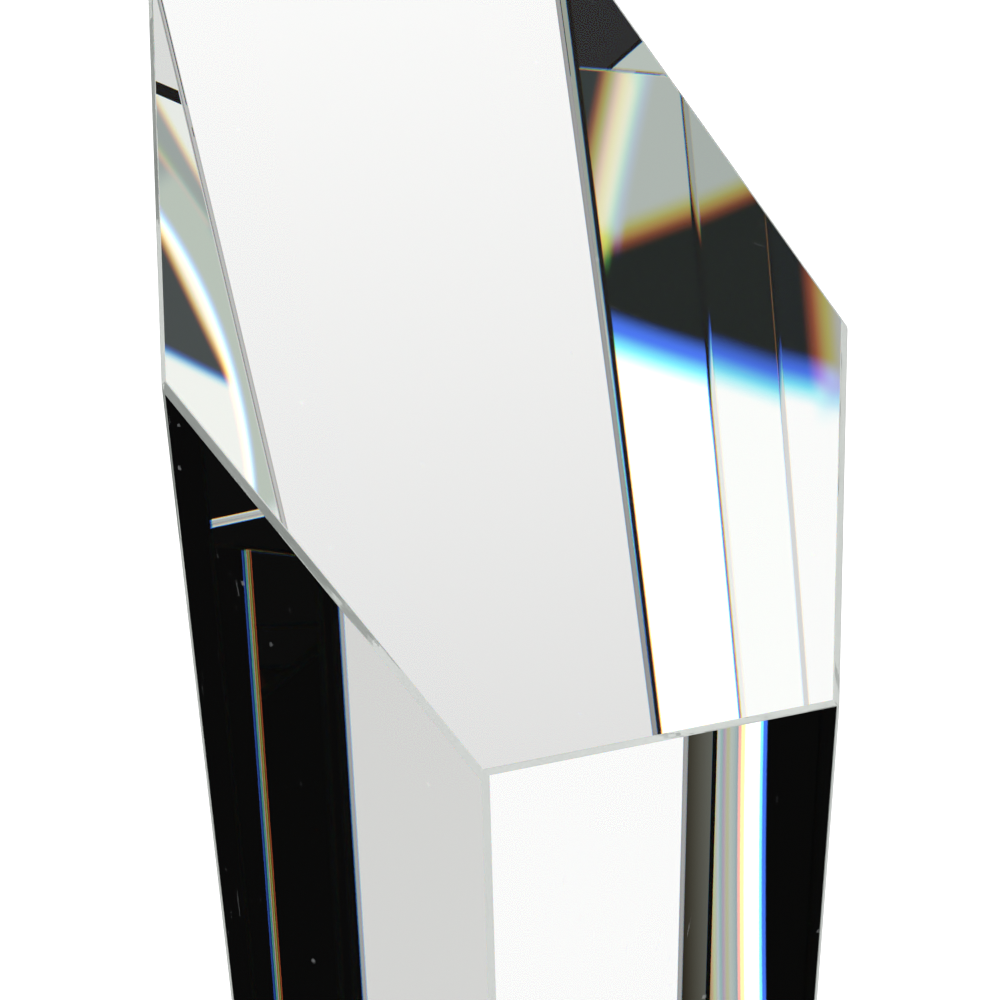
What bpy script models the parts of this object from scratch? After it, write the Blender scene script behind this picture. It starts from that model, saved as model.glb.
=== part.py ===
# A crystal award: a clear six-sided column, wider at its top than at its foot and cut off
# at a slant, bonded to a dark crystal base that stands on a felt pad.
# Metres, +Z up. The origin is at the middle of the pad's underside.

import bpy
import bmesh
from math import cos, radians, sin, tan
from mathutils import Matrix, Vector

# Driving dimensions of the column. Opposite corners mirror each other through its axis,
# so the six corners are three pairs, each with a distance from the axis and a heading.
# The distances are those at the height of the column's lowest top corner.
FRONT_PAIR = (0.0326, 265.0)      # metres, degrees from +X: the corner that faces -Y
RIGHT_PAIR = (0.0306, 326.0)
SIDE_PAIR = (0.0285, 25.0)
LOW_CORNER_HEIGHT = 0.109         # foot of the column to its lowest top corner
FLARE = 2.8                       # widening for each metre of height
CUT_ANGLE = 41.2                  # slant of the top face above the horizontal
CUT_HEADING = 121.3               # the way the top face climbs, from +X
ARRIS = 0.0008                    # width of the polished strip along each edge

# Driving dimensions of what the column stands on.
BASE_HEIGHT = 0.025
BASE_OVERHANG = 0.0125            # base beyond the column's width at its lowest top corner
BASE_CHAMFER = 0.0035             # slope around the base's top, the same in and down
PAD_THICKNESS = 0.002
PAD_INSET = 0.003                 # pad inside the base's edge
FILM_THICKNESS = 0.0003           # each layer of adhesive
FILM_INSET = 0.0006               # adhesive inside the edge of what it holds
GAP = 0.0003                      # between pieces that touch

PAIRS = (FRONT_PAIR, RIGHT_PAIR, SIDE_PAIR)

# Heights, from the table up
pad_low = 0.0
pad_high = pad_low + PAD_THICKNESS
tape_low = pad_high + GAP
tape_high = tape_low + FILM_THICKNESS
base_low = tape_high + GAP
base_high = base_low + BASE_HEIGHT
bond_low = base_high + GAP
bond_high = bond_low + FILM_THICKNESS
foot = bond_high + GAP
low_corner = foot + LOW_CORNER_HEIGHT


def clear_objects():
    for item in list(bpy.data.objects):
        bpy.data.objects.remove(item, do_unlink=True)


def new_collection(name):
    group = bpy.data.collections.new(name)
    bpy.context.scene.collection.children.link(group)
    return group


def material(name, color, roughness, transmission=0.0):
    mat = bpy.data.materials.new(name)
    mat.use_nodes = True
    shader = mat.node_tree.nodes["Principled BSDF"]
    shader.inputs["Base Color"].default_value = (*color, 1.0)
    shader.inputs["Roughness"].default_value = roughness
    shader.inputs["Metallic"].default_value = 0.0
    shader.inputs["Transmission Weight"].default_value = transmission
    return mat


def corners(extra=0.0, scale=1.0):
    """The six corners in plan, anticlockwise, each moved outwards by extra."""
    points = []
    for turn in (0.0, 180.0):
        for distance, heading in PAIRS:
            angle = radians(heading + turn)
            reach = distance * scale + extra
            points.append(Vector((reach * cos(angle), reach * sin(angle))))
    return points


def stack(name, levels, mat, group):
    """One closed solid through a list of outlines, each a height and its six corners."""
    bm = bmesh.new()
    bmesh.ops.create_circle(bm, cap_ends=True, segments=6, radius=1.0)
    bm.faces.ensure_lookup_table()
    face = bm.faces[0]
    for count, (height, outline) in enumerate(levels):
        if count > 0:
            lower = face
            grown = bmesh.ops.extrude_face_region(bm, geom=[lower])
            face = [item for item in grown["geom"] if isinstance(item, bmesh.types.BMFace)][0]
            if count > 1:
                bmesh.ops.delete(bm, geom=[lower], context="FACES_ONLY")  # only the lowest stays
        for loop, point in zip(face.loops, outline):
            loop.vert.co = (point.x, point.y, height)
    bmesh.ops.recalc_face_normals(bm, faces=bm.faces[:])
    mesh = bpy.data.meshes.new(name)
    bm.to_mesh(mesh)
    bm.free()
    piece = bpy.data.objects.new(name, mesh)
    piece.data.materials.append(mat)
    group.objects.link(piece)
    return piece


def polish_edges(piece, width):
    """A narrow rounded strip along every edge of the piece."""
    strip = piece.modifiers.new("arris", "BEVEL")
    strip.offset_type = "WIDTH"
    strip.width = width
    strip.segments = 2
    strip.limit_method = "ANGLE"
    strip.angle_limit = radians(15)


def column_scale(height):
    return 1.0 + FLARE * (height - low_corner)


def column_outline(height):
    return corners(scale=column_scale(height))


def make_column(group, cutters):
    climb = Vector((cos(radians(CUT_HEADING)), sin(radians(CUT_HEADING))))
    front = corners()[0]
    # The column is first made taller than the slant needs: the slant rises over the
    # longest distance across the column, which itself grows with height.
    across = 2.0 * max(distance for distance, _ in PAIRS)
    rise = across * tan(radians(CUT_ANGLE))
    blank_top = low_corner + rise * column_scale(low_corner + rise)
    levels = [(foot, column_outline(foot)), (blank_top, column_outline(blank_top))]
    glass = material("optical_crystal", (0.97, 0.985, 0.975), 0.02, 1.0)
    column = stack("crystal_column", levels, glass, group)

    # The cutter is a block whose underside lies in the slant, through the lowest corner.
    block = 4.0 * (blank_top - low_corner)
    bm = bmesh.new()
    bmesh.ops.create_cube(bm, size=block, matrix=Matrix.Translation((0, 0, block / 2)))
    mesh = bpy.data.meshes.new("slant_cutter")
    bm.to_mesh(mesh)
    bm.free()
    cutter = bpy.data.objects.new("slant_cutter", mesh)
    tilt = Matrix.Rotation(radians(CUT_ANGLE), 4, Vector((climb.y, -climb.x, 0.0)))
    cutter.matrix_world = Matrix.Translation((front.x, front.y, low_corner)) @ tilt
    cutter.hide_render = True
    cutter.display_type = "WIRE"
    cutters.objects.link(cutter)

    slant = column.modifiers.new("slant", "BOOLEAN")
    slant.operation = "DIFFERENCE"
    slant.solver = "EXACT"
    slant.object = cutter
    polish_edges(column, ARRIS)
    return column


def make_column_bond(group):
    glue = material("clear_adhesive", (0.93, 0.94, 0.92), 0.1, 0.9)
    outline = corners(extra=-FILM_INSET, scale=column_scale(foot))
    return stack("column_bond", [(bond_low, outline), (bond_high, outline)], glue, group)


def make_base(group):
    dark = material("black_crystal", (0.006, 0.006, 0.007), 0.04)
    wide = corners(extra=BASE_OVERHANG)
    top = corners(extra=BASE_OVERHANG - BASE_CHAMFER)
    levels = [(base_low, wide), (base_high - BASE_CHAMFER, wide), (base_high, top)]
    base = stack("base_block", levels, dark, group)
    polish_edges(base, ARRIS)
    return base


def make_pad_tape(group):
    glue = material("pad_adhesive", (0.62, 0.55, 0.38), 0.6)
    outline = corners(extra=BASE_OVERHANG - PAD_INSET - FILM_INSET)
    return stack("pad_tape", [(tape_low, outline), (tape_high, outline)], glue, group)


def make_pad(group):
    felt = material("felt", (0.012, 0.012, 0.014), 0.95)
    outline = corners(extra=BASE_OVERHANG - PAD_INSET)
    return stack("felt_pad", [(pad_low, outline), (pad_high, outline)], felt, group)


clear_objects()
award = new_collection("crystal_award")
cutters = new_collection("cutters")
make_column(award, cutters)
make_column_bond(award)
make_base(award)
make_pad_tape(award)
make_pad(award)
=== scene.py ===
# A crystal award on a dark base, ready for its picture. Metres, +Z up.
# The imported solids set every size; this script gives the column its cut and polished edges,
# the finishes, and a small studio.

import bpy
import numpy as np
from mathutils import Matrix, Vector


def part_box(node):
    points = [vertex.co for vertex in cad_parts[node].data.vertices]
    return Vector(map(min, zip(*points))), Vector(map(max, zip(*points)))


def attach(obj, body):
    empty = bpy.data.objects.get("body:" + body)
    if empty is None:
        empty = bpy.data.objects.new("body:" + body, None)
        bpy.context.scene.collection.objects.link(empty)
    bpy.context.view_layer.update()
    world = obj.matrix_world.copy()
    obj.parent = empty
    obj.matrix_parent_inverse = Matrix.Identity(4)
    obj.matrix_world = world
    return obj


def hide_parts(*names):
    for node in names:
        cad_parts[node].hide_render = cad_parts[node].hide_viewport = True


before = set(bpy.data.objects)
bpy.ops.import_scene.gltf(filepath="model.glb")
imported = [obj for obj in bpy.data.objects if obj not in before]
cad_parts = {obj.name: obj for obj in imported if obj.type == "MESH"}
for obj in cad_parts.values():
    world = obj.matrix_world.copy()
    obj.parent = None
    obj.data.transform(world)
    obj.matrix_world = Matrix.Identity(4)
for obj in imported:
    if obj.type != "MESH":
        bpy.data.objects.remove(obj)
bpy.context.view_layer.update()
print("solids loaded")


def join(tree, source, target):
    tree.links.new(source, target)


def feed(tree, value, socket):
    # a socket takes another socket's output, or a plain value
    if isinstance(value, bpy.types.NodeSocket):
        join(tree, value, socket)
    else:
        socket.default_value = value


def addNode(tree, kind, **values):
    # one node; each name is a setting of the node, or one of its sockets with _ for a space
    node = tree.nodes.new(kind)
    for name, value in values.items():
        if hasattr(node, name):
            setattr(node, name, value)
        else:
            feed(tree, value, node.inputs[name.replace("_", " ")])
    return node


def calc(tree, operation, *values):
    node = addNode(tree, "ShaderNodeMath", operation=operation)
    for value, socket in zip(values, node.inputs):
        feed(tree, value, socket)
    return node.outputs[0]


def remap(tree, value, source, result=(0.0, 1.0), kind="LINEAR"):
    # as value goes from one end of source to the other, so does the result, and stops there
    node = addNode(tree, "ShaderNodeMapRange", interpolation_type=kind, Value=value)
    for end, name in zip((*source, *result), ("From Min", "From Max", "To Min", "To Max")):
        feed(tree, end, node.inputs[name])
    return node.outputs[0]


def noise(tree, place, scale, detail, distortion=0.0):
    return addNode(tree, "ShaderNodeTexNoise", Vector=place, Scale=scale, Detail=detail,
                   Distortion=distortion).outputs[0]


def mixed(tree, kind, factor, first, second):
    # first where the factor is 0, second where it is 1; the sockets differ by kind
    node = addNode(tree, "ShaderNodeMix", data_type=kind)
    low, output = {"RGBA": (6, 2), "VECTOR": (4, 1)}[kind]
    feed(tree, factor, node.inputs[0])
    feed(tree, first, node.inputs[low])
    feed(tree, second, node.inputs[low + 1])
    return node.outputs[output]


def mixShaders(tree, factor, first, second):
    node = addNode(tree, "ShaderNodeMixShader")
    for value, socket in zip((factor, first, second), node.inputs):
        feed(tree, value, socket)
    return node.outputs[0]


def objectPlace(tree):
    return addNode(tree, "ShaderNodeTexCoord").outputs["Object"]


def newMaterial(name):
    finish = bpy.data.materials.new(name)
    finish.use_nodes = True
    finish.node_tree.nodes.clear()
    return finish, finish.node_tree


def showSurface(tree, shader):
    addNode(tree, "ShaderNodeOutputMaterial", Surface=shader)


def meshPiece(name, points, faces, materials, faceMaterials=None):
    mesh = bpy.data.meshes.new(name)
    mesh.from_pydata(points.tolist(), [], faces)
    mesh.update()
    piece = bpy.data.objects.new(name, mesh)
    bpy.context.scene.collection.objects.link(piece)
    for finish in materials:
        mesh.materials.append(finish)
    if faceMaterials is not None:
        mesh.polygons.foreach_set("material_index", np.array(faceMaterials, np.int32))
    return piece


def ringQuads(rings, count):
    # four-sided faces between neighbouring rings of points; outward where each ring lies above the last
    near = np.arange(count)
    far = (near + 1) % count
    start = np.arange(rings - 1)[:, None] * count
    quads = np.stack([start + near, start + far, start + count + far, start + count + near], axis=-1)
    return quads.reshape(-1, 4).tolist()


bevelAngle = 8.0     # degrees; without weights, edges whose faces meet at more than this are rounded


def bevel(piece, name, width, segments, byWeight):
    edges = piece.modifiers.new(name, "BEVEL")
    edges.offset_type = "WIDTH"
    edges.width = width
    edges.segments = segments
    edges.limit_method = "WEIGHT" if byWeight else "ANGLE"
    edges.angle_limit = np.radians(bevelAngle)
    return edges


def edgeWeights(piece, weightOf):
    # weightOf(i, j) gives the share of the bevel's width that the edge between two corners gets
    mesh = piece.data
    layer = mesh.attributes.new("bevel_weight_edge", "FLOAT", "EDGE")
    pairs = np.empty(len(mesh.edges) * 2, np.int32)
    mesh.edges.foreach_get("vertices", pairs)
    layer.data.foreach_set("value", [weightOf(*pair) for pair in pairs.reshape(-1, 2).tolist()])


plan = {
    "distances": (0.0326, 0.0306, 0.0285),   # column axis to each pair of opposite corners
    "headings": (265.0, 326.0, 25.0),        # degrees from +X
    "flare": 2.8,                            # widening for each metre of height
    "lowCorner": 0.109,                      # foot of the column to its lowest top corner
    "cutAngle": 41.2,
    "cutHeading": 121.3,
    "baseOverhang": 0.0125,
    "padInset": 0.003,
}


def outline(extra=0.0, scale=1.0):
    # six corners anticlockwise; the second three are the first three turned half round
    heading = np.radians(np.array(plan["headings"] + tuple(h + 180 for h in plan["headings"])))
    reach = np.array(plan["distances"] * 2) * scale + extra
    return np.stack([reach * np.cos(heading), reach * np.sin(heading)], axis=1)


def slantClimb():
    # how the slant rises for each metre along X and along Y
    heading = np.radians(plan["cutHeading"])
    return np.tan(np.radians(plan["cutAngle"])) * np.array([np.cos(heading), np.sin(heading)])


def slantNormal():
    # (-climb, 1) stands on the slant; over its length it is one long
    standing = np.array([*-slantClimb(), 1.0])
    return standing / np.linalg.norm(standing)


marks = {
    "specksPerMetre": 420.0,  # cells across a metre, of which a few hold a dust speck
    "speckRadius": (0.045, 0.11),   # in cells: where a speck starts to fade and where it ends
    "emptyCells": 0.72,
    "speckShare": 0.16,       # how far a speck hides what is behind it
    "dust": (0.8, 0.82, 0.84, 1.0),
    "hairTurn": (0.5, 0.3, 0.9),
    "hairStretch": (330.0, 5200.0, 330.0),
    "hairCrest": (0.73, 0.78),
    "patchesPerMetre": 95.0,
    "patchEdge": (0.5, 0.62),
    "hairShare": 0.07,
}


def surfaceMarks(tree):
    # Dust specks are the cores of a few cells; hairlines are thin crests of a stretched noise,
    # kept in patches. The result is the share by which they hide the surface.
    place = objectPlace(tree)
    cells = addNode(tree, "ShaderNodeTexVoronoi", Vector=place, Scale=marks["specksPerMetre"],
                    Randomness=1.0)
    core = remap(tree, cells.outputs["Distance"], marks["speckRadius"], (1.0, 0.0), "SMOOTHSTEP")
    cellColor = addNode(tree, "ShaderNodeSeparateColor", Color=cells.outputs["Color"])
    few = remap(tree, cellColor.outputs[0], (marks["emptyCells"], 1.0))
    speck = calc(tree, "MULTIPLY", calc(tree, "MULTIPLY", core, few), marks["speckShare"])
    turned = addNode(tree, "ShaderNodeMapping", Vector=place, Rotation=marks["hairTurn"],
                     Scale=marks["hairStretch"]).outputs[0]
    crest = remap(tree, noise(tree, turned, 1.0, 1.0), marks["hairCrest"])
    patch = remap(tree, noise(tree, place, marks["patchesPerMetre"], 2.0), marks["patchEdge"])
    hair = calc(tree, "MULTIPLY", calc(tree, "MULTIPLY", crest, patch), marks["hairShare"])
    return calc(tree, "MAXIMUM", speck, hair)


crystal = {
    "bending": 1.5168,        # refractive index inside
    "rightSpread": 0.0074,    # index, blue less red, of the slant's right part
    "leftSpread": 0.0014,     # of its narrow left part
    "frontSpread": 0.0016,    # of the front right side
    "sideSpread": 0.0081,     # of the other sides
    "shares": (               # tint of each share of the entering light, and its step in index
        ((0.80, 0.15, 0.05, 1.0), -0.48),
        ((0.15, 0.70, 0.15, 1.0), -0.06),
        ((0.05, 0.15, 0.80, 1.0), 0.52),
    ),
    "tint": (0.994, 0.998, 0.992, 1.0),
    "ghostLimit": 0.5,        # share turned back below which all of it leaves
}


def insideCrystal(tree, normal=None):
    # Light already inside either leaves or is turned back whole. The weak part reflections, which
    # would lay faint ghosts over the clear faces, are left out below the share given.
    bending, tint = crystal["bending"], crystal["tint"]
    leave = addNode(tree, "ShaderNodeBsdfRefraction", Color=tint, Roughness=0.0, IOR=bending)
    turnBack = addNode(tree, "ShaderNodeBsdfGlossy", Color=tint, Roughness=0.0)
    fresnel = addNode(tree, "ShaderNodeFresnel", IOR=bending)
    if normal is not None:
        for node in (leave, turnBack, fresnel):
            join(tree, normal, node.inputs["Normal"])
    strong = remap(tree, fresnel.outputs[0], (crystal["ghostLimit"], 1.0))
    return mixShaders(tree, strong, leave.outputs[0], turnBack.outputs[0])


def clearCrystal(name, spread):
    # Light that enters is split in three, red bent least and blue most, so that edges seen
    # through the crystal show coloured fringes. Inside, every colour travels alike.
    finish, tree = newMaterial(name)
    entering = None
    for color, step in crystal["shares"]:
        share = addNode(tree, "ShaderNodeBsdfGlass", Color=color, Roughness=0.0,
                        IOR=crystal["bending"] + step * spread).outputs[0]
        if entering is None:
            entering = share
            continue
        both = addNode(tree, "ShaderNodeAddShader")
        join(tree, entering, both.inputs[0])
        join(tree, share, both.inputs[1])
        entering = both.outputs[0]
    dust = addNode(tree, "ShaderNodeBsdfDiffuse", Color=marks["dust"]).outputs[0]
    marked = mixShaders(tree, surfaceMarks(tree), entering, dust)
    side = addNode(tree, "ShaderNodeNewGeometry")
    showSurface(tree, mixShaders(tree, side.outputs["Backfacing"], marked, insideCrystal(tree)))
    return finish


edgeStrip = {
    "dark": (0.26, 0.29, 0.27, 1.0),
    "light": (0.80, 0.84, 0.80, 1.0),
    # painted shade: the near-black a strip is darkened to at a grazing view and from inside
    "shade": (0.006, 0.007, 0.006, 1.0),
    "wanderPerMetre": 55.0,
    "veilShares": (0.45, 0.85),
    "grazing": (0.6, 0.95),   # turned this far from the view, a strip's painted dark rim starts and ends
    "grazingShade": 0.9,
    "clearDepth": 2.0,        # after this many turns light no longer meets the veil
    "rimDepth": 1.5,          # after more turns than this a strip counts as the face beside it
    "uprightLimit": 0.25,     # height of an upright strip's normal, at most
}


def rimNormal(tree, side, depth):
    # Light that has been turned about takes an upright strip for the rim of the side beside it,
    # whose outward normal each corner carries, and a strip round the slant for the slant. Both
    # normals are turned inwards, as every normal is that light meets from inside.
    carried = addNode(tree, "ShaderNodeAttribute", attribute_name="besideNormal").outputs["Vector"]
    inward = addNode(tree, "ShaderNodeVectorMath", operation="SCALE", Scale=-1.0)
    join(tree, carried, inward.inputs[0])
    height = addNode(tree, "ShaderNodeSeparateXYZ", Vector=side.outputs["True Normal"]).outputs["Z"]
    turned = calc(tree, "GREATER_THAN", depth, edgeStrip["rimDepth"])
    upright = calc(tree, "LESS_THAN", calc(tree, "ABSOLUTE", height), edgeStrip["uprightLimit"])
    sloping = calc(tree, "LESS_THAN", height, -edgeStrip["uprightLimit"])
    beside = mixed(tree, "VECTOR", calc(tree, "MULTIPLY", upright, turned), side.outputs["Normal"],
                   inward.outputs[0])
    return mixed(tree, "VECTOR", calc(tree, "MULTIPLY", sloping, turned), beside, -slantNormal())


def satinStrip(name, insideShade):
    # An edge strip is ground, then polished less than the faces: part clear, part a grey-green
    # veil whose tone wanders along the strip; painted shade darkens it from inside and at a grazing view.
    finish, tree = newMaterial(name)
    wander = noise(tree, objectPlace(tree), edgeStrip["wanderPerMetre"], 3.0)
    tone = mixed(tree, "RGBA", wander, edgeStrip["dark"], edgeStrip["light"])
    side = addNode(tree, "ShaderNodeNewGeometry")
    fromInside = side.outputs["Backfacing"]
    # painted shade: a dark rim where the strip is seen at a grazing angle
    facing = addNode(tree, "ShaderNodeLayerWeight", Blend=0.5).outputs["Facing"]
    grazing = remap(tree, facing, edgeStrip["grazing"], (0.0, edgeStrip["grazingShade"]))
    shade = calc(tree, "MAXIMUM", calc(tree, "MULTIPLY", fromInside, insideShade), grazing)
    shaded = mixed(tree, "RGBA", shade, tone, edgeStrip["shade"])
    over = addNode(tree, "ShaderNodeBsdfDiffuse", Color=shaded).outputs[0]
    through = addNode(tree, "ShaderNodeBsdfTranslucent", Color=shaded).outputs[0]
    veil = mixShaders(tree, 0.5, over, through)

    depth = addNode(tree, "ShaderNodeLightPath").outputs["Ray Depth"]
    clear = addNode(tree, "ShaderNodeBsdfGlass", Color=crystal["tint"], Roughness=0.0,
                    IOR=crystal["bending"]).outputs[0]
    inner = insideCrystal(tree, rimNormal(tree, side, depth))
    either = mixShaders(tree, fromInside, clear, inner)
    veilShare = calc(tree, "MULTIPLY", remap(tree, wander, (0.0, 1.0), edgeStrip["veilShares"]),
                     remap(tree, depth, (0.0, edgeStrip["clearDepth"]), (1.0, 0.0)))
    satin = mixShaders(tree, veilShare, either, veil)

    # painted shade: most edges turn near-black where light meets them from inside, so they draw dark lines
    carried = addNode(tree, "ShaderNodeAttribute", attribute_name="innerShade").outputs["Fac"]
    dark = addNode(tree, "ShaderNodeBsdfDiffuse", Color=edgeStrip["shade"]).outputs[0]
    showSurface(tree, mixShaders(tree, calc(tree, "MULTIPLY", carried, fromInside), satin, dark))
    return finish


gluedLook = {
    "color": (0.004, 0.004, 0.005, 1.0),
    "mirror": 0.1,
    "cloudPerMetre": 180.0,
    "roughness": (0.04, 0.16),
}


def gluedFoot():
    # the ground foot, wetted by the clear adhesive, shows the dark base from inside
    finish, tree = newMaterial("crystal_glued_foot")
    cloud = noise(tree, objectPlace(tree), gluedLook["cloudPerMetre"], 3.0)
    rough = remap(tree, cloud, (0.0, 1.0), gluedLook["roughness"])
    shader = addNode(tree, "ShaderNodeBsdfPrincipled", Base_Color=gluedLook["color"],
                     Specular_IOR_Level=gluedLook["mirror"], Roughness=rough)
    showSurface(tree, shader.outputs[0])
    return finish


column = {
    "stripWidth": 0.0012,     # widest polished strip; the shares below are of it
    "frontLowStrip": 1.0,     # slant edge from the front corner to the left
    "frontRightStrip": 0.16,  # slant edge from the front corner to the right
    "slantStrip": 0.7,        # the other slant edges
    "frontStrip": 0.42,       # upright edge at the front corner
    "backStrip": 0.32,        # upright edges at the left and at the back left
    "otherStrip": 0.28,       # the other upright edges
    "footStrip": 0.5,
    "roundWidth": 0.00016,    # soft rounding where a strip meets a face
    "roundSegments": 2,
    "stripShade": 0.6,        # how much painted shade darkens a strip from inside
    "borderShade": 0.97,      # the same for its soft borders
    # how much painted shade each upright edge gets from inside, at its lower and its upper end
    "innerShadeLow": (0.0, 1.0, 1.0, 0.5, 0.3, 1.0),
    "innerShadeHigh": (0.25, 1.0, 1.0, 0.5, 0.3, 1.0),
}


def columnCorners(foot):
    # Corners at the foot, then where each upright edge meets the slant. An edge point at height h
    # above the low corner is its plan point times (1 + flare h), and the slant there is at its
    # climb along that point, less the climb at the front corner; both hold at h.
    flat = outline()
    slope = flat @ slantClimb()
    height = (slope - slope[0]) / (1 - plan["flare"] * slope)
    top = np.column_stack([flat * (1 + plan["flare"] * height)[:, None], foot + plan["lowCorner"] + height])
    footScale = 1 - plan["flare"] * plan["lowCorner"]
    bottom = np.column_stack([flat * footScale, np.full(6, foot)])
    return np.vstack([bottom, top])


def stripShare(i, j):
    # corners 0 to 5 are at the foot and 6 to 11 above them, both from the front corner on
    seam = {6, 10}            # the slant's two faces lie in one plane, so no strip between them
    special = (({6, 11}, "frontLowStrip"), ({6, 7}, "frontRightStrip"), ({0, 6}, "frontStrip"),
               ({5, 11}, "backStrip"), ({4, 10}, "backStrip"))
    if {i, j} == seam:
        return 0.0
    for pair, name in special:
        if {i, j} == pair:
            return column[name]
    if min(i, j) >= 6:
        return column["slantStrip"]
    return column["footStrip"] if max(i, j) < 6 else column["otherStrip"]


def makeColumn():
    lowest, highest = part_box("crystal_column")
    points = columnCorners(lowest.z)
    slant = [[6, 10, 11], [6, 7, 8, 9, 10]]      # its left triangle and the rest
    faces = [[5, 4, 3, 2, 1, 0]] + ringQuads(2, 6) + slant
    finishes = [
        clearCrystal("crystal_sides", crystal["sideSpread"]),
        clearCrystal("crystal_front_right", crystal["frontSpread"]),
        clearCrystal("crystal_slant_left", crystal["leftSpread"]),
        clearCrystal("crystal_slant_right", crystal["rightSpread"]),
        gluedFoot(),
        satinStrip("crystal_edge_strip", column["stripShade"]),
        satinStrip("crystal_strip_border", column["borderShade"]),
    ]
    # the foot, the front right side, the other five sides, and the slant's two parts
    piece = meshPiece("column", points, faces, finishes, [4, 1, 0, 0, 0, 0, 0, 2, 3])
    edgeWeights(piece, stripShare)
    along = np.roll(points[:6], -1, axis=0) - points[:6]
    beside = np.cross(along, points[6:] - points[:6])      # outward normal of each side
    beside /= np.linalg.norm(beside, axis=1)[:, None]
    carried = piece.data.attributes.new("besideNormal", "FLOAT_VECTOR", "POINT")
    carried.data.foreach_set("vector", np.vstack([beside, beside]).ravel())
    # painted shade: each corner's share of near-black for strips seen from inside
    shade = piece.data.attributes.new("innerShade", "FLOAT", "POINT")
    shade.data.foreach_set("value", np.array(column["innerShadeLow"] + column["innerShadeHigh"]))
    bevel(piece, "polished strips", column["stripWidth"], 1, True).material = 5
    bevel(piece, "soft borders", column["roundWidth"], column["roundSegments"], False).material = 6
    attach(piece, "root")
    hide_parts("crystal_column")
    print("column", len(points), "corners, top at", round(highest.z, 4))


base = {
    "chamfer": 0.0035,
    "strip": 0.0009,
    "roundWidth": 0.00018,
    "color": (0.0045, 0.0045, 0.0055, 1.0),
    "dust": (0.10, 0.10, 0.105, 1.0),
    "cloudPerMetre": 60.0,
    "cloudRange": (0.35, 0.75),
    "roughness": (0.015, 0.07),
    "ripplePerMetre": 22.0,
    "rippleStrength": 0.02,
    "rippleDepth": 0.0004,
    "bending": 1.52,
}


def blackCrystal():
    finish, tree = newMaterial("black_crystal_polished")
    place = objectPlace(tree)
    cloud = noise(tree, place, base["cloudPerMetre"], 4.0)
    rough = remap(tree, cloud, base["cloudRange"], base["roughness"])
    dusty = mixed(tree, "RGBA", surfaceMarks(tree), base["color"], base["dust"])
    bump = addNode(tree, "ShaderNodeBump", Strength=base["rippleStrength"], Distance=base["rippleDepth"],
                   Height=noise(tree, place, base["ripplePerMetre"], 1.0))
    shader = addNode(tree, "ShaderNodeBsdfPrincipled", IOR=base["bending"], Base_Color=dusty,
                     Roughness=rough, Normal=bump.outputs[0])
    showSurface(tree, shader.outputs[0])
    return finish


def makeBase():
    # three six-sided rings, foot, shoulder and the chamfer's top, each the plan grown outwards
    low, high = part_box("base_block")
    over = plan["baseOverhang"]
    rings = [(low.z, over), (high.z - base["chamfer"], over), (high.z, over - base["chamfer"])]
    points = np.vstack([np.column_stack([outline(extra), np.full(6, z)]) for z, extra in rings])
    faces = [[5, 4, 3, 2, 1, 0]] + ringQuads(3, 6) + [[12, 13, 14, 15, 16, 17]]
    piece = meshPiece("base", points, faces, [blackCrystal()])
    edgeWeights(piece, lambda i, j: 1.0)
    bevel(piece, "polished strips", base["strip"], 1, True)
    bevel(piece, "soft borders", base["roundWidth"], 2, False)
    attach(piece, "root")
    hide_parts("base_block")
    print("base", round(high.z - low.z, 4), "high")


glue = {
    "bond": dict(dark=(0.85, 0.87, 0.85, 1.0), light=(0.93, 0.95, 0.93, 1.0), perMetre=300.0,
                 roughness=(0.05, 0.25), clear=0.9),
    "tape": dict(dark=(0.52, 0.45, 0.30, 1.0), light=(0.66, 0.58, 0.40, 1.0), perMetre=500.0,
                 roughness=(0.45, 0.75), clear=0.0),
}


def adhesiveFinish(name, look):
    finish, tree = newMaterial(name)
    cloud = noise(tree, objectPlace(tree), look["perMetre"], 4.0)
    shader = addNode(tree, "ShaderNodeBsdfPrincipled", IOR=1.5, Transmission_Weight=look["clear"],
                     Base_Color=mixed(tree, "RGBA", cloud, look["dark"], look["light"]),
                     Roughness=remap(tree, cloud, (0.0, 1.0), look["roughness"]))
    showSurface(tree, shader.outputs[0])
    return finish


def refinish(node, finish):
    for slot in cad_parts[node].material_slots:
        slot.material = finish


felt = {
    "edgeRound": 0.0006,
    "sag": 0.00008,           # unevenness of the felt's cut side
    "hub": 0.004,             # radius of the plain middle of its two faces
    "perSide": 24,
    "rings": 8,
    "dark": (0.006, 0.006, 0.008, 1.0),
    "light": (0.035, 0.035, 0.042, 1.0),
    "tuftsPerMetre": 700.0,
    "fibresPerMetre": 2600.0,
    "fibreTwist": 2.5,
    "napStrength": 0.8,
    "napDepth": 0.0002,
    "roughness": 0.95,
    "sheen": 0.6,
    "sheenRoughness": 0.5,
}


def feltFinish():
    finish, tree = newMaterial("pressed_felt")
    place = objectPlace(tree)
    tufts = noise(tree, place, felt["tuftsPerMetre"], 3.0)
    fibres = noise(tree, place, felt["fibresPerMetre"], 4.0, felt["fibreTwist"])
    blend = calc(tree, "MULTIPLY", tufts, fibres)
    bump = addNode(tree, "ShaderNodeBump", Strength=felt["napStrength"], Distance=felt["napDepth"],
                   Height=blend)
    shader = addNode(tree, "ShaderNodeBsdfPrincipled", Roughness=felt["roughness"],
                     Sheen_Weight=felt["sheen"], Sheen_Roughness=felt["sheenRoughness"],
                     Normal=bump.outputs[0],
                     Base_Color=mixed(tree, "RGBA", blend, felt["dark"], felt["light"]))
    showSurface(tree, shader.outputs[0])
    return finish


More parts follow.
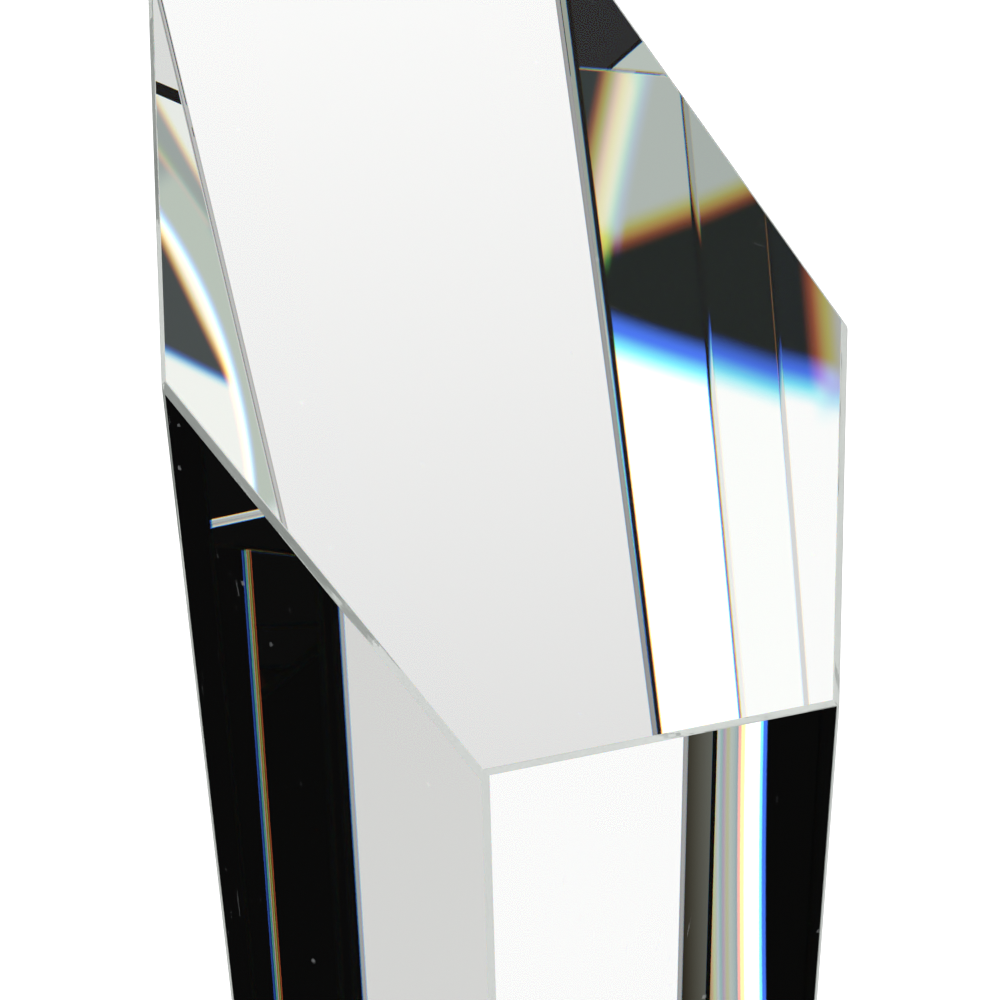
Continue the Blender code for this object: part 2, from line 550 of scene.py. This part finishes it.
def makeFelt():
    # The rim runs round the six sides, from each corner to the next in even steps. A section
    # through the pad goes out under it, round the rim as a quarter circle below and another
    # above, and back over its top; a small wave along the rim stands for the cut fibres.
    low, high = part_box("felt_pad")
    corners = outline(plan["baseOverhang"] - plan["padInset"])
    ahead = np.roll(corners, -1, axis=0)
    share = np.linspace(0, 1, felt["perSide"], endpoint=False)[None, :, None]
    rim = (corners[:, None] * (1 - share) + ahead[:, None] * share).reshape(-1, 2)
    outward = rim / np.linalg.norm(rim, axis=1)[:, None]
    around = np.arange(len(rim))
    wave = felt["sag"] * (np.sin(around * 2.3) * np.sin(around * 0.71 + 1) - 1)
    radius, middle, half = felt["edgeRound"], (low.z + high.z) / 2, (high.z - low.z) / 2
    turn = np.linspace(-np.pi / 2, np.pi / 2, felt["rings"])
    inset = radius * (np.cos(turn) - 1)
    height = middle + (half - radius) * np.sign(np.round(turn, 6)) + radius * np.sin(turn)
    edge = rim + outward * (inset[:, None] + wave)[..., None]
    hub = outward[None] * felt["hub"]
    flat = np.concatenate([hub, edge, hub])
    levels = np.array([low.z, *height, high.z])
    tall = np.broadcast_to(levels[:, None, None], (*flat.shape[:2], 1))
    points = np.concatenate([flat, tall], axis=2).reshape(-1, 3)
    last = (len(levels) - 1) * len(rim)
    faces = ringQuads(len(levels), len(rim)) + [around[::-1].tolist(), (around + last).tolist()]
    piece = meshPiece("felt", points, faces, [feltFinish()])
    piece.data.shade_smooth()
    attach(piece, "root")
    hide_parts("felt_pad")
    print("felt pad", len(points), "points")


roomTone = {
    # brightness of the room at each elevation, degrees: a white table below, a dark room above
    "levels": ((-90, 0.72), (-52.5, 0.74), (-50, 0.84), (-46.2, 0.99), (-30, 1.03), (-14, 1.0),
               (-4, 0.9), (12, 0.8), (40, 0.45), (90, 0.25)),
    "plain": 1.1,             # light that reaches dull surfaces
    "backdrop": 1.0,
    "lowGloss": (0.02, 0.02, 0.02, 1.0),      # what polished faces mirror, level and below
    "highGloss": (0.25, 0.25, 0.26, 1.0),     # and from well above
    "glossRise": (0.2, 0.5),  # sines of the elevations between which it changes
}

flagBlack = (0.002, 0.002, 0.002)

# Soft-edged cards round the object. az is from +Y towards +X, el above the horizon, and the sizes,
# tilt and edge softness are in degrees too. Later cards cover earlier ones.
studioCards = {
    # large black flags, which keep the dark sides dark
    "flagRight": dict(az=117.0, el=-8.0, wide=26.0, high=22.0, soft=(4.0, 4.0), light=flagBlack),
    "flagRightHigh": dict(az=117.0, el=31.0, wide=26.0, high=24.0, soft=(4.0, 4.0), light=flagBlack),
    "flagBack": dict(az=156.0, el=0.0, wide=36.0, high=22.0, soft=(4.0, 4.0), light=flagBlack),
    "flagFront": dict(az=-157.0, el=-4.0, wide=14.0, high=10.0, soft=(3.0, 3.0), light=flagBlack),
    "flagLeft": dict(az=-79.0, el=9.0, wide=24.0, high=20.0, soft=(4.0, 4.0), light=flagBlack),
    "flagBehind": dict(az=-6.0, el=17.0, wide=24.0, high=18.0, soft=(4.0, 4.0), light=flagBlack),
    "flagUnder": dict(az=-94.5, el=-70.6, wide=10.0, high=6.0, soft=(1.0, 1.0), light=flagBlack),
    "flagStripe": dict(az=73.0, el=8.5, wide=16.0, high=12.0, soft=(3.0, 3.0), light=flagBlack),
    # what the front and the left sides look through to
    "backGrey": dict(az=1.7, el=-18.3, wide=2.6, high=8.0, soft=(0.3, 1.0), light=(0.7, 0.7, 0.69)),
    "lowBlack": dict(az=-112.0, el=-57.0, wide=60.0, high=20.0, soft=(4.0, 1.0),
                     light=(0.003, 0.003, 0.003)),
    "lowBlackSide": dict(az=-58.0, el=-46.0, wide=14.0, high=10.0, soft=(2.0, 1.0),
                         light=(0.003, 0.003, 0.003)),
    # seen through the slant, at the right
    "rightWhite": dict(az=75.5, el=-20.9, wide=6.0, high=4.0, soft=(0.4, 0.4), light=(1.2, 1.2, 1.18)),
    "rightBlack": dict(az=76.5, el=-19.122, wide=7.0, high=1.644, tilt=-14.7, soft=(0.4, 0.14),
                       light=(0.008, 0.012, 0.01)),
    "rightGrey": dict(az=77.0, el=-18.4, wide=5.0, high=1.42, soft=(0.4, 0.12), light=(0.44, 0.48, 0.46)),
    "rightShade": dict(az=75.6, el=-18.27, wide=1.7, high=0.56, tilt=35.0, soft=(0.2, 0.14),
                       light=(0.03, 0.04, 0.04)),
    "rightStreak": dict(az=76.1, el=-18.63, wide=1.7, high=0.24, tilt=35.0, soft=(0.3, 0.14),
                        light=(0.85, 0.84, 0.68)),
    # the narrow band along the back edge
    "strip": dict(az=-156.1, el=-32.6, wide=2.5, high=7.0, soft=(0.4, 0.4), light=(0.8, 0.82, 0.8)),
    "stripHigh": dict(az=-156.1, el=-30.2, wide=2.5, high=4.6, soft=(0.4, 1.6), light=(0.33, 0.36, 0.31)),
    "stripBlue": dict(az=-155.99, el=-34.0, wide=0.3, high=3.0, tilt=-0.9, soft=(0.02, 0.6),
                      light=(0.1, 0.2, 0.32)),
    # the highest corner of the view
    "topGrey": dict(az=157.0, el=-44.4, wide=4.0, high=2.0, soft=(0.4, 0.3), light=(0.5, 0.54, 0.51)),
    "topStreak": dict(az=157.1, el=-44.45, wide=3.0, high=0.3, tilt=15.0, soft=(0.3, 0.2),
                      light=(0.9, 0.88, 0.72)),
    "topShade": dict(az=157.1, el=-43.93, wide=3.0, high=0.8, tilt=15.0, soft=(0.3, 0.15),
                     light=(0.03, 0.04, 0.04)),
    "topSide": dict(az=-104.2, el=-55.4, wide=3.0, high=2.0, soft=(0.4, 0.3), light=(0.5, 0.54, 0.52)),
    # seen through the slant, further right
    "backBlack": dict(az=145.0, el=-24.83, wide=5.0, high=1.8, tilt=19.7, soft=(0.3, 0.14),
                      light=(0.008, 0.012, 0.01)),
    "backGreyHigh": dict(az=145.8, el=-24.1, wide=4.0, high=1.2, tilt=-21.0, soft=(0.3, 0.12),
                         light=(0.4, 0.44, 0.42)),
    "sideBlack": dict(az=-95.66, el=-38.875, wide=5.0, high=1.95, tilt=16.0, soft=(0.3, 0.14),
                      light=(0.008, 0.012, 0.012)),
    "sideGrey": dict(az=-95.82, el=-39.15, wide=1.0, high=1.3, tilt=-13.3, soft=(0.1, 0.3),
                     light=(0.42, 0.43, 0.44)),
    # seen through the slant, at the left
    "leftPale": dict(az=122.1, el=-34.1, wide=3.0, high=4.0, soft=(0.4, 0.4), light=(0.84, 0.86, 0.83)),
    "leftGrey": dict(az=122.0, el=-33.7, wide=3.0, high=0.3, tilt=-56.0, soft=(0.3, 0.04),
                     light=(0.34, 0.38, 0.37)),
    "leftLine": dict(az=121.83, el=-33.4, wide=0.7, high=0.03, tilt=-52.0, soft=(0.1, 0.03),
                     light=(0.6, 0.52, 0.34)),
    "leftDark": dict(az=121.78, el=-34.28, wide=3.0, high=0.5, tilt=-59.0, soft=(0.3, 0.05),
                     light=(0.06, 0.07, 0.07)),
    "leftLow": dict(az=121.64, el=-35.17, wide=3.0, high=1.5, tilt=-31.0, soft=(0.3, 0.06),
                    light=(0.92, 0.93, 0.9)),
    "leftGreen": dict(az=122.41, el=-34.36, wide=0.22, high=2.4, tilt=25.5, bend=-0.117, soft=(0.05, 0.2),
                      light=(0.5, 0.56, 0.5)),
    "leftStreak": dict(az=122.29, el=-34.41, wide=0.045, high=2.4, tilt=25.5, bend=-0.117, soft=(0.04, 0.2),
                       light=(1.25, 1.25, 1.17)),
    # upright stripes at the lower right
    "stripeGrey": dict(az=71.6, el=8.4, wide=0.9, high=4.0, tilt=-10.4, soft=(0.5, 0.5),
                       light=(0.5, 0.53, 0.5)),
    "stripeShade": dict(az=70.95, el=8.4, wide=0.6, high=4.0, tilt=-10.4, soft=(0.5, 0.5),
                        light=(0.12, 0.13, 0.12)),
    "stripeDarkLine": dict(az=71.62, el=8.4, wide=0.09, high=4.0, tilt=-10.4, soft=(0.08, 0.5),
                           light=(0.28, 0.3, 0.28)),
    "stripeGlint": dict(az=71.38, el=8.4, wide=0.07, high=4.0, tilt=-10.4, soft=(0.06, 0.5),
                        light=(0.6, 0.63, 0.6)),
    "stripeWhite": dict(az=72.32, el=8.4, wide=0.52, high=4.0, tilt=-10.4, soft=(0.04, 0.5),
                        light=(1.3, 1.3, 1.28)),
    "innerGrey": dict(az=-156.0, el=-4.0, wide=2.0, high=4.0, tilt=-11.0, soft=(0.3, 0.5),
                      light=(0.13, 0.14, 0.13)),
}


def aim(az, el, tilt):
    # three unit vectors: towards the card, along its width, and along its height
    a, e, t = np.radians([az, el, tilt])
    ahead = np.array([np.sin(a) * np.cos(e), np.cos(a) * np.cos(e), np.sin(e)])
    right = np.array([np.cos(a), -np.sin(a), 0.0])
    up = np.cross(right, ahead)
    return ahead, np.cos(t) * right + np.sin(t) * up, np.cos(t) * up - np.sin(t) * right


def cardGroup():
    # One card over what is behind it. A direction's place on the card is its share along the
    # width and the height, each over its share towards the card, and both fade out at the edge.
    group = bpy.data.node_groups.new("soft card", "ShaderNodeTree")
    sockets = {
        "NodeSocketVector": ("Direction", "Ahead", "Right", "Up"),
        "NodeSocketFloat": ("Half wide", "Half high", "Soft wide", "Soft high", "Bend"),
        "NodeSocketColor": ("Behind", "Light"),
    }
    for kind, names in sockets.items():
        for name in names:
            group.interface.new_socket(name=name, in_out="INPUT", socket_type=kind)
    group.interface.new_socket(name="Result", in_out="OUTPUT", socket_type="NodeSocketColor")
    given = group.nodes.new("NodeGroupInput").outputs
    made = group.nodes.new("NodeGroupOutput")

    def along(axis):
        node = addNode(group, "ShaderNodeVectorMath", operation="DOT_PRODUCT")
        join(group, given["Direction"], node.inputs[0])
        join(group, given[axis], node.inputs[1])
        return node.outputs["Value"]

    def fade(place, half, soft):
        reach = calc(group, "MULTIPLY", given[soft], 0.5)
        ends = (calc(group, "SUBTRACT", given[half], reach), calc(group, "ADD", given[half], reach))
        return remap(group, calc(group, "ABSOLUTE", place), ends, (1.0, 0.0), "SMOOTHSTEP")

    ahead = along("Ahead")
    across = calc(group, "DIVIDE", along("Right"), ahead)
    upward = calc(group, "DIVIDE", along("Up"), ahead)
    curve = calc(group, "MULTIPLY", given["Bend"], calc(group, "MULTIPLY", upward, upward))
    bent = calc(group, "SUBTRACT", across, curve)
    within = calc(group, "MULTIPLY", fade(bent, "Half wide", "Soft wide"),
                  fade(upward, "Half high", "Soft high"))
    mask = calc(group, "MULTIPLY", within, calc(group, "GREATER_THAN", ahead, 0.0))
    join(group, mixed(group, "RGBA", mask, given["Behind"], given["Light"]), made.inputs["Result"])
    return group


def layCards(tree, direction, behind):
    # each card in turn over the room and the cards before it
    group = cardGroup()
    degree = 180 / np.pi
    for name, card in studioCards.items():
        ahead, right, up = aim(card["az"], card["el"], card.get("tilt", 0.0))
        node = tree.nodes.new("ShaderNodeGroup")
        node.node_tree = group
        node.label = name
        values = {
            "Direction": direction, "Ahead": ahead, "Right": right * degree, "Up": up * degree,
            "Half wide": card["wide"] / 2, "Half high": card["high"] / 2,
            "Soft wide": card["soft"][0], "Soft high": card["soft"][1],
            "Bend": card.get("bend", 0.0), "Behind": behind, "Light": (*card["light"], 1.0),
        }
        for socket, value in values.items():
            feed(tree, value, node.inputs[socket])
        behind = node.outputs["Result"]
    return behind


def makeRoom():
    world = bpy.data.worlds.new("studio")
    bpy.context.scene.world = world
    world.use_nodes = True
    world.cycles.sampling_method = "NONE"
    tree = world.node_tree
    tree.nodes.clear()
    direction = addNode(tree, "ShaderNodeTexCoord").outputs["Generated"]
    height = addNode(tree, "ShaderNodeSeparateXYZ", Vector=direction).outputs["Z"]
    # the table's and the room's tone, from the elevation of the direction
    tones = addNode(tree, "ShaderNodeValToRGB")
    join(tree, remap(tree, calc(tree, "ARCSINE", height), (-np.pi / 2, np.pi / 2)), tones.inputs[0])
    stops = tones.color_ramp.elements
    for elevation, tone in roomTone["levels"][1:-1]:
        stops.new((elevation + 90) / 180)
    for stop, (elevation, tone) in zip(stops, roomTone["levels"]):
        stop.color = (tone, tone, tone, 1.0)
    cards = layCards(tree, direction, tones.outputs[0])

    def background(color, strength=1.0):
        return addNode(tree, "ShaderNodeBackground", Color=color, Strength=strength).outputs[0]

    white = (1.0, 1.0, 1.0, 1.0)
    ray = addNode(tree, "ShaderNodeLightPath")
    current = mixShaders(tree, remap(tree, height, roomTone["glossRise"]),
                         background(roomTone["lowGloss"]), background(roomTone["highGloss"]))
    # what light through the crystal, light on dull surfaces and the view itself meet instead
    for kind, light in (("Is Transmission Ray", background(cards)),
                        ("Is Diffuse Ray", background(white, roomTone["plain"])),
                        ("Is Camera Ray", background(white, roomTone["backdrop"]))):
        current = mixShaders(tree, ray.outputs[kind], current, light)
    addNode(tree, "ShaderNodeOutputWorld", Surface=current)
    print("room with", len(studioCards), "cards")


floorLook = {
    "reach": 2.5,
    "rings": 24,
    "spokes": 64,
    "dark": (0.90, 0.90, 0.905, 1.0),
    "light": (0.93, 0.93, 0.93, 1.0),
    "cloudPerMetre": 6.0,
    "roughness": 0.4,
}


def makeFloor():
    # rings round the origin, each point at its ring's radius and its spoke's heading
    rings, spokes = floorLook["rings"], floorLook["spokes"]
    radius = np.linspace(0, 1, rings + 1)[1:] ** 2 * floorLook["reach"]
    heading = np.linspace(0, 2 * np.pi, spokes, endpoint=False)
    ring = np.stack([np.cos(heading), np.sin(heading), 0 * heading], axis=1)
    points = (radius[:, None, None] * ring[None]).reshape(-1, 3)
    faces = [quad[::-1] for quad in ringQuads(rings, spokes)] + [list(range(spokes))]
    finish, tree = newMaterial("pale_floor")
    cloud = noise(tree, objectPlace(tree), floorLook["cloudPerMetre"], 5.0)
    shader = addNode(tree, "ShaderNodeBsdfDiffuse", Roughness=floorLook["roughness"],
                     Color=mixed(tree, "RGBA", cloud, floorLook["dark"], floorLook["light"]))
    showSurface(tree, shader.outputs[0])
    floor = meshPiece("floor", points, faces, [finish])
    floor.visible_transmission = False     # the crystal shows the cards, not the floor
    floor.visible_glossy = False
    print("floor")


lamps = {
    # name: place, what it faces, size, watts
    "overhead": ((0.1, -0.35, 1.5), (0.0, 0.0, 0.05), 1.2, 9.0),
    "leftSide": ((-1.1, -0.3, 0.7), (0.0, 0.0, 0.08), 0.6, 2.0),
}


def setPose(item, place, right, up, back):
    turn = Matrix(np.stack([right, up, back], axis=1).tolist())
    item.matrix_world = Matrix.Translation(place) @ turn.to_4x4()
    bpy.context.scene.collection.objects.link(item)


def makeLamps():
    for name, (place, target, size, watts) in lamps.items():
        lamp = bpy.data.lights.new(name, "AREA")
        lamp.shape = "SQUARE"
        lamp.size = size
        lamp.energy = watts
        item = bpy.data.objects.new(name, lamp)
        back = np.array(place) - np.array(target)
        back = back / np.linalg.norm(back)
        right = np.cross([0, 0, 1], back)
        right = right / np.linalg.norm(right)
        setPose(item, place, right, np.cross(back, right), back)
        item.visible_transmission = False
        item.visible_camera = False
    print("lamps")


viewpoint = {
    "place": (-0.001273, -0.688094, 0.424202),
    "down": 21.90,            # degrees below the horizon
    "roll": 1.103,
    "lens": 332.4,            # millimetres, as is the sensor
    "sensor": 36.0,
    "sees": (0.01, 20.0),     # metres, nearest and farthest
}


def makeCamera():
    # looks along +Y tipped down, then rolls a little about its own line of sight
    down, roll = np.radians([viewpoint["down"], viewpoint["roll"]])
    ahead = np.array([0.0, np.cos(down), -np.sin(down)])
    level, lifted = np.array([1.0, 0.0, 0.0]), np.array([0.0, np.sin(down), np.cos(down)])
    right = np.cos(roll) * level - np.sin(roll) * lifted
    up = np.sin(roll) * level + np.cos(roll) * lifted
    data = bpy.data.cameras.new("camera")
    data.lens = viewpoint["lens"]
    data.sensor_width = viewpoint["sensor"]
    data.clip_start, data.clip_end = viewpoint["sees"]
    item = bpy.data.objects.new("camera", data)
    setPose(item, viewpoint["place"], right, up, -ahead)
    bpy.context.scene.camera = item
    print("camera")


lightTurns = {"crystal": 40, "dull": 3}     # how often light may be turned before it is given up


def setLook():
    scene = bpy.context.scene
    scene.view_settings.view_transform = "Standard"
    scene.cycles.max_bounces = lightTurns["crystal"]
    scene.cycles.transmission_bounces = lightTurns["crystal"]
    scene.cycles.glossy_bounces = lightTurns["crystal"]
    scene.cycles.diffuse_bounces = lightTurns["dull"]


makeColumn()
refinish("column_bond", adhesiveFinish("clear_adhesive_layer", glue["bond"]))
makeBase()
refinish("pad_tape", adhesiveFinish("pad_adhesive_layer", glue["tape"]))
makeFelt()
makeRoom()
makeFloor()
makeLamps()
makeCamera()
setLook()
